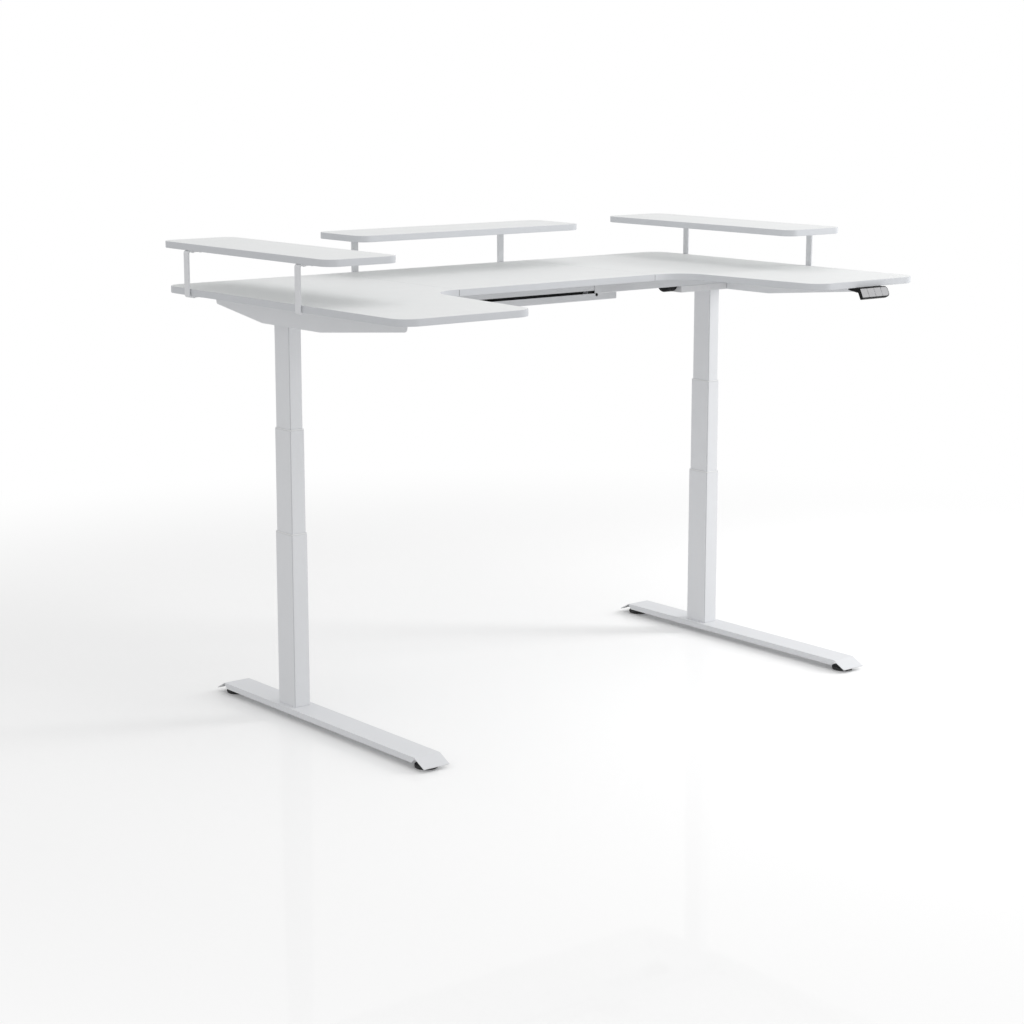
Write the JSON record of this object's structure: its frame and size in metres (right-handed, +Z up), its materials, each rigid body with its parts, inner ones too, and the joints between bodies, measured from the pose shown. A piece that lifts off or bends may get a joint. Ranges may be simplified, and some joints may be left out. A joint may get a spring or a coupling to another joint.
{
  "type": "u-shaped standing desk",
  "caption": "Electric sit-stand desk with a u-shaped three-board top, raised side and rear shelves, telescoping columns, folded feet, a cable tray and a tilted handset.",
  "frame": {"origin": "on the floor, midway across the top and midway between its front and rear edges", "axes": "+X to the user's right along the desk, -Y towards the user, +Z up"},
  "size_m": [1.813, 1.1334, 1.2655],
  "materials": {
    "laminate": "white laminated board, satin",
    "white_steel": "white powder coat, satin",
    "black_steel": "black paint, satin",
    "bare_steel": "zinc-plated steel",
    "grey_casting": "light grey casting",
    "bronze": "turned bronze",
    "black_plastic": "black moulded plastic",
    "white_plastic": "off-white moulded plastic",
    "grey_plastic": "light grey key tops"
  },
  "bodies": {
    "base_left": {"left_foot": "white_steel", "left_outer_tube": "white_steel", "left_outer_collar": "white_plastic", "left_lower_guide": "bare_steel"},
    "stage_left": {"left_middle_tube": "white_steel", "left_middle_collar": "white_plastic", "left_upper_guide": "bare_steel", "left_spindle_nut": "bronze"},
    "desk": {"desktop_left_wing": "laminate", "desktop_centre_panel": "laminate", "desktop_right_wing": "laminate", "left_joining_plate": "bare_steel", "right_joining_plate": "bare_steel", "left_shelf": "laminate", "back_shelf": "laminate", "right_shelf": "laminate", "left_front_riser": "white_steel", "left_rear_riser": "white_steel", "right_front_riser": "white_steel", "right_rear_riser": "white_steel", "back_left_riser": "white_steel", "back_right_riser": "white_steel", "left_side_bracket": "white_steel", "right_side_bracket": "white_steel", "left_end_rail": "white_steel", "right_end_rail": "white_steel", "centre_rail": "white_steel", "cable_tray": "white_steel", "left_tray_hanger": "black_steel", "right_tray_hanger": "black_steel", "control_box": "black_plastic", "left_gearbox": "grey_casting", "right_gearbox": "grey_casting", "left_motor": "black_steel", "right_motor": "black_steel", "left_inner_tube": "white_steel", "right_inner_tube": "white_steel", "handset_housing": "black_plastic"},
    "stage_right": {"right_middle_tube": "white_steel", "right_middle_collar": "white_plastic", "right_upper_guide": "bare_steel", "right_spindle_nut": "bronze"},
    "base_right": {"right_foot": "white_steel", "right_outer_tube": "white_steel", "right_outer_collar": "white_plastic", "right_lower_guide": "bare_steel"},
    "left_drive": {"left_drive_spindle": "bare_steel"},
    "right_drive": {"right_drive_spindle": "bare_steel"},
    "left_hollow": {"left_hollow_spindle": "bare_steel"},
    "right_hollow": {"right_hollow_spindle": "bare_steel"},
    "left_front_foot_glide": {"left_front_glide": "black_plastic"},
    "left_rear_foot_glide": {"left_rear_glide": "black_plastic"},
    "right_front_foot_glide": {"right_front_glide": "black_plastic"},
    "right_rear_foot_glide": {"right_rear_glide": "black_plastic"},
    "key_1": {"handset_key_1": "grey_plastic"},
    "key_2": {"handset_key_2": "grey_plastic"},
    "key_3": {"handset_key_3": "grey_plastic"},
    "key_4": {"handset_key_4": "grey_plastic"}
  },
  "joints": [
    {"name": "left_lower_stage", "type": "slide", "parent": "base_left", "child": "stage_left", "axis": [0, 0, 1], "range_m": [-0.27, 0.055]},
    {"name": "left_upper_stage", "type": "slide", "parent": "stage_left", "child": "desk", "axis": [0, 0, 1], "range_m": [-0.27, 0.055]},
    {"name": "right_upper_stage", "type": "slide", "parent": "desk", "child": "stage_right", "axis": [0, 0, -1], "range_m": [-0.27, 0.055]},
    {"name": "right_lower_stage", "type": "slide", "parent": "stage_right", "child": "base_right", "axis": [0, 0, -1], "range_m": [-0.27, 0.055]},
    {"name": "left_drive_turn", "type": "hinge", "parent": "desk", "child": "left_drive", "pos_m": [-0.755, 0.163, 0.9], "axis": [0, 0, 1], "range_deg": [-6100, 1240]},
    {"name": "right_drive_turn", "type": "hinge", "parent": "desk", "child": "right_drive", "pos_m": [0.755, 0.163, 0.9], "axis": [0, 0, 1], "range_deg": [-6100, 1240]},
    {"name": "left_hollow_turn", "type": "hinge", "parent": "stage_left", "child": "left_hollow", "pos_m": [-0.755, 0.163, 0.5], "axis": [0, 0, 1], "range_deg": [-6100, 1240]},
    {"name": "right_hollow_turn", "type": "hinge", "parent": "stage_right", "child": "right_hollow", "pos_m": [0.755, 0.163, 0.5], "axis": [0, 0, 1], "range_deg": [-6100, 1240]},
    {"name": "left_front_glide_turn", "type": "hinge", "parent": "base_left", "child": "left_front_foot_glide", "pos_m": [-0.755, -0.4355, 0.01], "axis": [0, 0, 1], "continuous": true},
    {"name": "left_rear_glide_turn", "type": "hinge", "parent": "base_left", "child": "left_rear_foot_glide", "pos_m": [-0.755, 0.455, 0.01], "axis": [0, 0, 1], "continuous": true},
    {"name": "right_front_glide_turn", "type": "hinge", "parent": "base_right", "child": "right_front_foot_glide", "pos_m": [0.755, -0.4355, 0.01], "axis": [0, 0, 1], "continuous": true},
    {"name": "right_rear_glide_turn", "type": "hinge", "parent": "base_right", "child": "right_rear_foot_glide", "pos_m": [0.755, 0.455, 0.01], "axis": [0, 0, 1], "continuous": true},
    {"name": "key_1_press", "type": "slide", "parent": "desk", "child": "key_1", "axis": [0, 0.8965, -0.4431], "range_m": [0, 0.001], "stiffness_N_per_m": 400},
    {"name": "key_2_press", "type": "slide", "parent": "desk", "child": "key_2", "axis": [0, 0.8965, -0.4431], "range_m": [0, 0.001], "stiffness_N_per_m": 400},
    {"name": "key_3_press", "type": "slide", "parent": "desk", "child": "key_3", "axis": [0, 0.8965, -0.4431], "range_m": [0, 0.001], "stiffness_N_per_m": 400},
    {"name": "key_4_press", "type": "slide", "parent": "desk", "child": "key_4", "axis": [0, 0.8965, -0.4431], "range_m": [0, 0.001], "stiffness_N_per_m": 400}
  ],
  "couplings": [
    {"joint": "left_upper_stage", "follows": "left_lower_stage", "ratio": 1},
    {"joint": "right_upper_stage", "follows": "left_lower_stage", "ratio": 1},
    {"joint": "right_lower_stage", "follows": "left_lower_stage", "ratio": 1},
    {"joint": "left_drive_turn", "follows": "left_lower_stage", "rad_per_m": 392.7},
    {"joint": "right_drive_turn", "follows": "left_lower_stage", "rad_per_m": 392.7},
    {"joint": "left_hollow_turn", "follows": "left_lower_stage", "rad_per_m": 392.7},
    {"joint": "right_hollow_turn", "follows": "left_lower_stage", "rad_per_m": 392.7}
  ]
}
